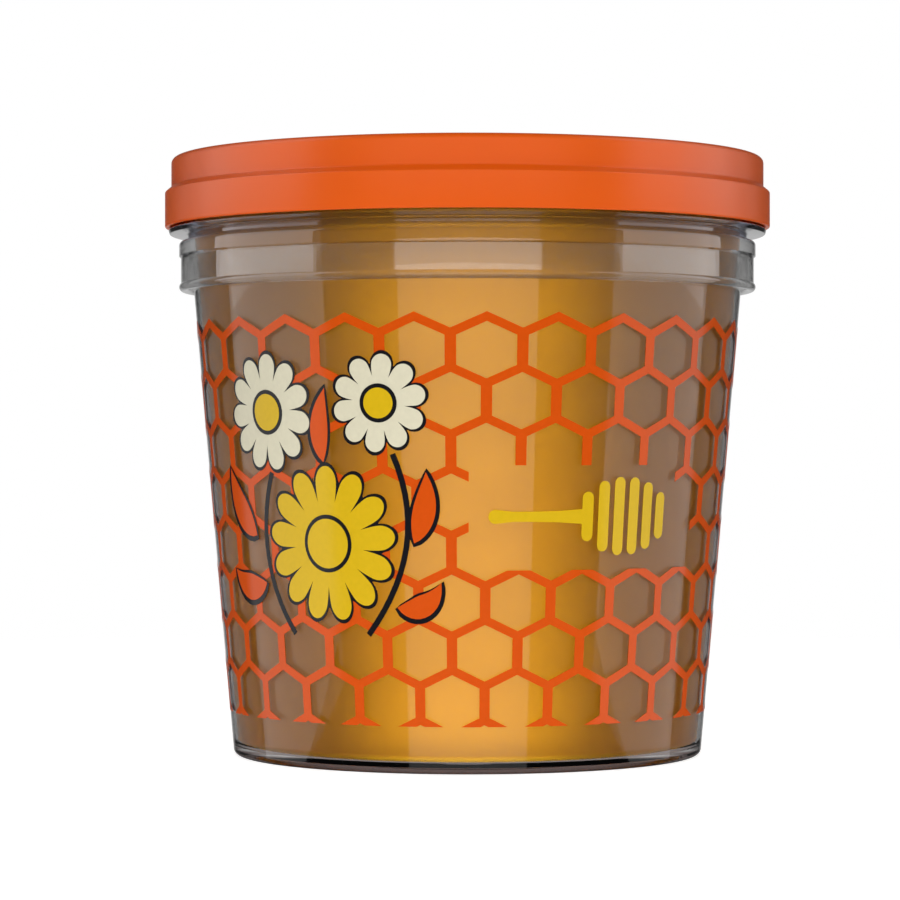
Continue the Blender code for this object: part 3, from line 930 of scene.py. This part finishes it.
def honeycomb_tile(pitch, row_pitch, bar, stroke):
    """One flat cell's strokes round its middle, and the crown tile that closes the top row."""
    side = CELL_EDGE / 2
    rise = row_pitch - CELL_EDGE
    slant = rise / (pitch / 2)
    drop = stroke / 2 * math.hypot(1, slant)
    near = pitch / 2 - bar / 2
    inner_point = side + rise - drop
    inner_side = inner_point - near * slant
    outer = [(0, side + rise), (pitch / 2, side), (pitch / 2, -side),
             (0, -side - rise), (-pitch / 2, -side), (-pitch / 2, side)]
    inner = [(0, inner_point), (near, inner_side), (near, -inner_side),
             (0, -inner_point), (-near, -inner_side), (-near, inner_side)]
    tile = bmesh.new()
    patch(tile, [[*outer, outer[0]], [*inner, inner[0]]])
    crown = tile.faces.layers.bool.new("crown")
    cell_faces = len(tile.faces)
    lift = [(-pitch / 2, -side + drop), (0, -inner_point), (pitch / 2, -side + drop)]
    patch(tile, [lift, [outer[4], outer[3], outer[2]]])
    tile.faces.ensure_lookup_table()
    for face in tile.faces[cell_faces:]:
        face[crown] = True
    face_viewer(tile)
    mesh = bpy.data.meshes.new("honeycomb_tile")
    tile.to_mesh(mesh)
    tile.free()
    return mesh


class PAIL_OT_tub(bpy.types.Operator):
    """Turn the clear tub and stand it on its foot"""
    bl_idname = "pail.tub"
    bl_label = "Tub"

    def execute(self, context):
        tub = turned("clear_tub", tub_outline(), clear_polypropylene(context.scene.pail_colours))
        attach(tub, "tub")
        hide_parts("tub")
        return {"FINISHED"}


class PAIL_OT_honey(bpy.types.Operator):
    """Fill the tub with honey up to its level"""
    bl_idname = "pail.honey"
    bl_label = "Honey"

    def execute(self, context):
        honey = turned("honey_fill", honey_outline(), amber_honey(context.scene.pail_colours.honey))
        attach(honey, "tub")
        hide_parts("honey")
        return {"FINISHED"}


class PAIL_OT_lid(bpy.types.Operator):
    """Turn the lid in its closed place"""
    bl_idname = "pail.lid"
    bl_label = "Lid"

    def execute(self, context):
        lid = turned("snap_lid", lid_outline(), orange_polyethylene(context.scene.pail_colours.lid))
        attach(lid, "lid")
        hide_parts("lid")
        spare(lid)
        bpy.data.collections["lit_by_the_rim_panels"].objects.link(lid)
        return {"FINISHED"}


class PAIL_OT_honeycomb(bpy.types.Operator):
    """Print the honeycomb all round the tub, with its window and its level foot"""
    bl_idname = "pail.honeycomb"
    bl_label = "Honeycomb Print"

    def execute(self, context):
        sizes = context.scene.pail_sizes
        pitch = math.tau * PRINT_RADIUS / sizes.cells_around
        row_pitch = sizes.row_pitch / MM
        first_column = along_wall(CELL_TURN) - pitch * (sizes.cells_around // 2) + pitch / 2
        crown_row = CELL_TOP + CELL_EDGE / 2
        rows = grown(
            tree_named("honeycomb_rows", honeycomb_tree), "honeycomb_rows",
            honeycomb_tile(pitch, row_pitch, sizes.bar_width / MM, sizes.stroke_width / MM),
            ink("orange_ink"), cells=sizes.cells_around, rows=sizes.cell_rows, cell_pitch=pitch * MM,
            row_pitch=sizes.row_pitch, start=first_column * MM, crown_height=crown_row * MM)
        sheet = bmesh.new()
        sheet.from_mesh(rows.data)
        bpy.data.objects.remove(rows)
        reach = math.pi * PRINT_RADIUS + pitch
        cut_out(sheet, -reach, reach, -2 * row_pitch, PRINT_FOOT)
        for turn_from, turn_to, bottom, top in (WINDOW, WINDOW_NOTCH):
            cut_out(sheet, along_wall(turn_from), along_wall(turn_to), bottom, top)
        printed("honeycomb_print", flat_mesh("honeycomb_flat", sheet), "orange_ink", PRINT_LIFT)
        return {"FINISHED"}


# Flowers of the print: across, height, reach, petals, first turn, petal ink
FLOWERS = (
    (-27.5, 41.0, 14.0, 13, 0.10, "yellow_ink"),
    (-40.5, 64.5, 10.6, 11, 0.35, "cream_ink"),
    (-16.2, 66.0, 8.8, 10, 0.20, "cream_ink"),
)
# Stems and leaves: start, where the curve bends to, end, and a leaf's half width
STEMS = (
    ((-40.3, 53.6), (-47.5, 38.0), (-36.5, 24.6)),
    ((-13.8, 57.0), (-6.5, 40.0), (-19.5, 24.8)),
)
LEAVES = (
    ((-45.5, 41.5), (-52.0, 45.5), (-54.6, 55.0), 3.3),
    ((-43.2, 33.5), (-51.0, 30.5), (-55.8, 36.0), 3.2),
    ((-10.2, 40.5), (-7.0, 47.0), (-7.6, 54.5), 2.8),
    ((-14.0, 29.5), (-7.0, 28.0), (-4.6, 34.5), 2.7),
    ((-27.6, 54.8), (-29.5, 62.0), (-26.6, 69.5), 2.5),
)
FLOWER_LIFT = 0.07          # wall to the underside of the stems, just inside the honeycomb's ink
LAYER_STEP = 1.1            # rise from one layer of ink to the next, in films
STEM_HALF = 0.55
LEAF_LANES = 4
LEAF_FILL = 0.82            # width of the ink in a leaf as a share of its black shape
LEAF_INSET = 0.05           # black left at each end of a leaf, as a share of its length
OUTLINE = 0.55              # black rim left round every coloured shape
HEART = 0.33                # heart of a flower as a share of its reach
PETAL_END = 0.99            # end of a petal as a share of the flower's reach
PETAL_WIDTH = 0.72          # share of its room round the flower that a petal fills
PETAL_NECK = 0.55           # width of a petal at the heart as a share of its full width
PETAL_FLARE = 0.6           # how fast it widens from there
PETAL_WAVE = 0.30           # depth of the notches between petals, as a share of the reach
PETAL_BLUNTNESS = 0.55      # below 1 the notches are narrower
PETAL_STEPS = 18
OUTLINE_STEPS = 16          # facets round each petal's outline


def flower_outline(reach, count, first):
    """The distance of a flower's black edge from its middle, for an angle."""
    def edge(angle):
        wave = abs(math.cos(count * (angle - first) / 2)) ** PETAL_BLUNTNESS
        return reach * (1 - PETAL_WAVE + PETAL_WAVE * wave) + OUTLINE
    return edge


def petal_shape(reach, count):
    """One flat petal that points along the first axis, round at its end and narrow at the heart."""
    petal = bmesh.new()
    half = reach * PETAL_WIDTH * math.tan(math.pi / count)
    shares = [math.sin(math.pi / 2 * at / PETAL_STEPS) for at in range(PETAL_STEPS)] + [1.0]
    points = [(reach * (HEART + (PETAL_END - HEART) * share), 0) for share in shares]
    widths = [half * min(1.0, PETAL_NECK + PETAL_FLARE * share) * math.sqrt(1 - share ** 5)
              for share in shares]
    ribbon(petal, points, widths)
    return petal


def leaf_fill(start, bend, end):
    """The middle line of a leaf's coloured ink, a little shorter than the leaf at both ends."""
    length = 1 - 2 * LEAF_INSET
    return [tuple(a + (b - a) * length + (c - a) * LEAF_INSET for a, b, c in zip(start, point, end))
            for point in swung(start, bend, end)]


class PAIL_OT_flowers(bpy.types.Operator):
    """Print the flowers, their stems and their leaves on the left of the front"""
    bl_idname = "pail.flowers"
    bl_label = "Flower Print"

    def execute(self, context):
        # Name, ink and layer of each print, from the wall outwards
        layers = (
            ("stems_print", "black_ink", 0), ("flower_outlines_print", "black_ink", 1),
            ("yellow_fill_print", "yellow_ink", 2), ("cream_fill_print", "cream_ink", 2),
            ("orange_fill_print", "orange_ink", 2), ("heart_rims_print", "black_ink", 3),
            ("hearts_print", "yellow_ink", 4))
        shapes = {name: bmesh.new() for name, _, _ in layers}
        for start, bend, end in STEMS:
            ribbon(shapes["stems_print"], swung(start, bend, end), [STEM_HALF] * (CURVE_STEPS + 1))
        for across, height, reach, count, first, petal_ink in FLOWERS:
            blob(shapes["flower_outlines_print"], across, height, flower_outline(reach, count, first),
                 sides=count * OUTLINE_STEPS)
            petals = grown(
                tree_named("shapes_in_a_ring", ring_tree), "petals",
                flat_mesh("petal", petal_shape(reach, count)), ink(petal_ink),
                count=count, across=across * MM, height=height * MM, first_turn=first)
            shapes[petal_ink.replace("ink", "fill_print")].from_mesh(petals.data)
            bpy.data.objects.remove(petals)
            for name, radius in (("heart_rims_print", reach * HEART + OUTLINE),
                                 ("hearts_print", reach * HEART - OUTLINE / 3)):
                blob(shapes[name], across, height, lambda angle: radius)
        for start, bend, end, half in LEAVES:
            widths = leaf_widths(half)
            ribbon(shapes["flower_outlines_print"], swung(start, bend, end), widths, LEAF_LANES)
            ribbon(shapes["orange_fill_print"], leaf_fill(start, bend, end),
                   [max(0.0, width * LEAF_FILL - OUTLINE / 3) for width in widths], LEAF_LANES)
        step = context.scene.pail_sizes.ink_film / MM * LAYER_STEP
        for name, coat, layer in layers:
            printed(name, flat_mesh(name + "_flat", shapes[name]), coat, FLOWER_LIFT + step * layer)
        return {"FINISHED"}


# Dipper of the print: heights and places on the unrolled wall
DIPPER_LEVEL = 45.9
DIPPER_HANDLE = (3.6, 21.5)
DIPPER_HANDLE_HALF = 1.25
# Along the handle from its round end or back from the ribs, and its half width as a share
DIPPER_WAIST = ((4.5, 0.72), (8.0, 0.72))
DIPPER_SHOULDER = ((-5.0, 0.8), (0.0, 1.05))
DIPPER_RIBS = ((22.6, 4.4), (26.0, 6.3), (29.4, 7.0), (32.8, 6.9), (36.2, 6.0), (39.6, 4.2))
DIPPER_RIB_HALF = 1.15
DIPPER_END_STEPS = 8


class PAIL_OT_dipper(bpy.types.Operator):
    """Print the honey dipper in the window of the honeycomb"""
    bl_idname = "pail.dipper"
    bl_label = "Dipper Print"

    def execute(self, context):
        shape = bmesh.new()
        left, right = DIPPER_HANDLE
        rows = []
        for at in range(DIPPER_END_STEPS + 1):
            angle = math.pi / 2 * at / DIPPER_END_STEPS
            rows.append((left + DIPPER_HANDLE_HALF * (1 - math.cos(angle)),
                         DIPPER_HANDLE_HALF * math.sin(angle)))
        rows += [(left + along, DIPPER_HANDLE_HALF * share) for along, share in DIPPER_WAIST]
        rows += [(right + along, DIPPER_HANDLE_HALF * share) for along, share in DIPPER_SHOULDER]
        patch(shape, [[(x, DIPPER_LEVEL + w * side) for side in (-1, 0, 1)] for x, w in rows])
        for across, half in DIPPER_RIBS:
            capsule(shape, across, DIPPER_LEVEL - half, DIPPER_LEVEL + half, DIPPER_RIB_HALF)
        printed("dipper_print", flat_mesh("dipper_flat", shape), "yellow_ink", PRINT_LIFT)
        return {"FINISHED"}


# Studio
EYE_HEIGHT = 57.7
EYE_DISTANCE = 630.0
EYE_SIDE = -3.3
LENS = 132.0
FLOOR_REACH = 1200.0
SOFT_EDGE = (130.0, 420.0)  # the floor fades into the backdrop between these reaches

# Light panels: turn, tilt, distance, level of the middle, width and height
SIDE_PANEL = (88, 0, 700, 650, 720, 1100)
LOW_SIDE_PANEL = (88, 0, 700, -50, 720, 300)
RIM_PANEL = (125, 0, 700, 650, 247, 1100)
FRONT_PANEL = (0, 0, 800, -124, 868, 562)
BROW_PANEL = (0, 0, 780, 139, 820, 32)
KEY_PANEL = (0, 20, 900, 60, 1400, 500)
REAR_PANEL = (180, 25, 900, 60, 1400, 500)

# The room that the pail mirrors and lets through. A heading is 1 straight behind the pail, 0 beside
# it and -1 in front, and a depth is the number of surfaces that light has passed
HEADING_SQUASH = (1.0, 1.0, 0.5)    # the backdrop reaches further up and down than to its sides
BACKDROP = (0.942, 1.0)             # headings over which the lit backdrop fades in
FAR_ROOM = (0.7, -0.3)              # headings over which the far room fades in
BEHIND_PLASTIC = (0.3, 0.8)         # the backdrop's headings where only plastic is in front
HONEY_DEPTH = (4, 6)                # beyond these depths, light has come through the honey
DIM_ROOM = 0.25                     # share of the room's glow that is left beside the backdrop
BARE_ROOM = 0.2                     # share of the fill that the outsides mirror


def light_panel(name, side, panel, radiance, hidden=(), receivers=None):
    """A rectangular light that faces the upright axis at its level.

    Its turn goes to the side given as 1 or -1. It is hidden from the kinds of ray that are named,
    and a collection of receivers, where one is given, says which pieces it lights or spares.
    """
    turn, tilt, distance, level, width, height = panel
    data = bpy.data.lights.new(name, "AREA")
    data.shape = "RECTANGLE"
    data.size = width * MM
    data.size_y = height * MM
    data.energy = radiance * math.pi * width * height * MM * MM
    lamp = bpy.data.objects.new(name, data)
    bpy.context.scene.collection.objects.link(lamp)
    around = math.radians(turn * side)
    up = math.radians(tilt)
    lamp.location = (
        distance * MM * math.sin(around) * math.cos(up),
        -distance * MM * math.cos(around) * math.cos(up),
        level * MM + distance * MM * math.sin(up))
    lamp.rotation_euler = (math.pi / 2 - up, 0, around)
    for kind in ("camera", *hidden):
        setattr(lamp, "visible_" + kind, False)
    if receivers is not None:
        lamp.light_linking.receiver_collection = receivers


def pale_floor(colour):
    """Matt white laminate, which fades out into the backdrop far from the pail."""
    made, tree, output, place = surface("matt_white_laminate")
    grain = add(tree, "ShaderNodeTexNoise", {"Vector": place, "Scale": patches(3.0), "Detail": 3.0})
    tone = add(tree, "ShaderNodeMix", {
        "Factor": grain, "A": toned(colour, 0.985), "B": toned(colour)}, data_type="RGBA")
    shader = add(tree, "ShaderNodeBsdfPrincipled", {
        "Base Color": tone.outputs["Result"],
        "Roughness": add(tree, "ShaderNodeMapRange", {"Value": grain, "To Min": 0.55, "To Max": 0.65}),
        "Specular IOR Level": 0.2,
        "Emission Color": (1.0, 1.0, 1.0, 1.0),
        "Emission Strength": 0.72,
    })
    reach = add(tree, "ShaderNodeVectorMath", (place,), operation="LENGTH")
    near, far = SOFT_EDGE
    fade = add(tree, "ShaderNodeMapRange", {
        "Value": reach.outputs["Value"], "From Min": near * MM, "From Max": far * MM,
    }, interpolation_type="SMOOTHSTEP")
    clear = add(tree, "ShaderNodeBsdfTransparent")
    mix = add(tree, "ShaderNodeMixShader", (fade, shader, clear))
    tree.links.new(mix.outputs[0], output.inputs["Surface"])
    return made


def studio_world(studio):
    """White to the camera. To the pail, a dim room with a lit backdrop that fades out to its sides.

    Light that has come through the honey finds the backdrop and the far room bright, so the honey
    glows. Light that has passed only clear plastic finds them dim, so the plastic keeps its edges.
    """
    world = bpy.data.worlds.new("studio")
    world.use_nodes = True
    world.cycles.sampling_method = "NONE"
    tree = world.node_tree
    tree.nodes.clear()
    heading = add(tree, "ShaderNodeTexCoord").outputs["Generated"]
    squashed = add(tree, "ShaderNodeVectorMath", (heading, HEADING_SQUASH), operation="MULTIPLY")
    levelled = add(tree, "ShaderNodeVectorMath", (squashed,), operation="NORMALIZE")
    rearwards = add(tree, "ShaderNodeSeparateXYZ", (levelled,)).outputs["Y"]
    behind, aside, behind_plastic = [
        add(tree, "ShaderNodeMapRange", {
            "Value": rearwards, "From Min": start, "From Max": end}, interpolation_type="SMOOTHSTEP")
        for start, end in (BACKDROP, FAR_ROOM, BEHIND_PLASTIC)]
    ray = add(tree, "ShaderNodeLightPath").outputs
    within, through = [
        add(tree, "ShaderNodeMapRange", {
            "Value": ray["Transmission Depth"], "From Min": start, "From Max": end})
        for start, end in ((0, 1), HONEY_DEPTH)]
    glows = {
        "dim": studio.room_glow * DIM_ROOM, "far": studio.far_glow, "back": studio.back_glow,
        "clear": studio.clear_glow, "room": studio.room_glow, "fill": studio.fill,
        "bare": studio.fill * BARE_ROOM,
    }
    # Each row names a glow, what decides it, and the glows that it is without and with that
    choices = (
        ("beside", aside, "dim", "far"),
        ("past_honey", behind, "beside", "back"),
        ("past_plastic", behind_plastic, "dim", "clear"),
        ("let_through", through, "past_plastic", "past_honey"),
        ("mirrored", behind, "bare", "clear"),
        ("sharp", within, "mirrored", "let_through"),
        ("around", within, "fill", "room"),
        ("lit", through, "clear", "back"),
        ("soft", behind, "around", "lit"),
        ("seen", ray["Is Glossy Ray"], "soft", "sharp"),
    )
    for name, share, without, full in choices:
        glows[name] = add(tree, "ShaderNodeMapRange", {
            "Value": share, "To Min": glows[without], "To Max": glows[full]})
    glow = add(tree, "ShaderNodeBackground", {"Color": toned((1, 1, 1)), "Strength": glows["seen"]})
    white = add(tree, "ShaderNodeBackground", {"Color": toned((1, 1, 1)), "Strength": 1.0})
    mix = add(tree, "ShaderNodeMixShader", (ray["Is Camera Ray"], glow, white))
    add(tree, "ShaderNodeOutputWorld", {"Surface": mix})
    return world


class PAIL_OT_studio(bpy.types.Operator):
    """Set up the floor, the camera, the light panels and the backdrop"""
    bl_idname = "pail.studio"
    bl_label = "Studio"

    def execute(self, context):
        scene = context.scene
        studio = scene.pail_studio
        eye = bpy.data.objects.new("camera", bpy.data.cameras.new("camera"))
        scene.collection.objects.link(eye)
        eye.location = (EYE_SIDE * MM, -EYE_DISTANCE * MM, EYE_HEIGHT * MM)
        eye.rotation_euler = (math.pi / 2, 0, 0)
        eye.data.sensor_width = 36.0
        eye.data.lens = LENS
        eye.data.clip_start = 0.01
        scene.camera = eye
        shape = bmesh.new()
        bmesh.ops.create_circle(shape, cap_ends=True, radius=FLOOR_REACH * MM, segments=96)
        mesh = bpy.data.meshes.new("floor")
        shape.to_mesh(mesh)
        shape.free()
        mesh.materials.append(pale_floor(scene.pail_colours.floor))
        floor = bpy.data.objects.new("floor", mesh)
        scene.collection.objects.link(floor)
        floor.visible_glossy = False
        floor.visible_transmission = False
        for side in (-1, 1):
            light_panel(f"side_panel_{side}", side, SIDE_PANEL, studio.side_glow, ("diffuse",))
            light_panel(f"low_side_panel_{side}", side, LOW_SIDE_PANEL, studio.low_side_glow, ("diffuse",))
        lid_only = bpy.data.collections.new("lit_by_the_rim_panels")
        for side in (-1, 1):
            light_panel(f"rim_panel_{side}", side, RIM_PANEL, studio.rim_glow,
                        ("diffuse", "transmission"), lid_only)
        spared = bpy.data.collections.new("spared_by_the_front_panels")
        light_panel("front_panel", 1, FRONT_PANEL, studio.front_glow, (), spared)
        light_panel("brow_panel", 1, BROW_PANEL, studio.brow_glow, (), spared)
        light_panel("key_panel", 1, KEY_PANEL, studio.key_glow, ("glossy", "transmission"))
        light_panel("rear_panel", 1, REAR_PANEL, studio.rear_glow, ("glossy", "transmission"))
        scene.world = studio_world(studio)
        scene.view_settings.view_transform = "Standard"
        return {"FINISHED"}


STEPS = ("studio", "tub", "honey", "lid", "honeycomb", "flowers", "dipper")


class PAIL_PT_panel(bpy.types.Panel):
    """Sizes, colours and lights of the pail, and the steps that build it"""
    bl_idname = "PAIL_PT_panel"
    bl_label = "Honey Pail"
    bl_space_type = "VIEW_3D"
    bl_region_type = "UI"
    bl_category = "Pail"

    def draw(self, context):
        for group in (context.scene.pail_sizes, context.scene.pail_colours, context.scene.pail_studio):
            box = self.layout.box()
            for label in group.bl_rna.properties.keys():
                if label not in ("rna_type", "name"):
                    box.prop(group, label)
        for step in STEPS:
            self.layout.operator("pail." + step)


CLASSES = (
    PailSizes, PailColours, PailStudio, PAIL_OT_studio, PAIL_OT_tub, PAIL_OT_honey, PAIL_OT_lid,
    PAIL_OT_honeycomb, PAIL_OT_flowers, PAIL_OT_dipper, PAIL_PT_panel)


def register():
    for part in CLASSES:
        bpy.utils.register_class(part)
    bpy.types.Scene.pail_sizes = bpy.props.PointerProperty(type=PailSizes)
    bpy.types.Scene.pail_colours = bpy.props.PointerProperty(type=PailColours)
    bpy.types.Scene.pail_studio = bpy.props.PointerProperty(type=PailStudio)


def unregister():
    del bpy.types.Scene.pail_studio
    del bpy.types.Scene.pail_colours
    del bpy.types.Scene.pail_sizes
    for part in reversed(CLASSES):
        bpy.utils.unregister_class(part)


def main():
    """Builds the whole pail."""
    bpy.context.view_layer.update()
    register()
    for step in STEPS:
        getattr(bpy.ops.pail, step)()


if __name__ == "__main__":
    main()
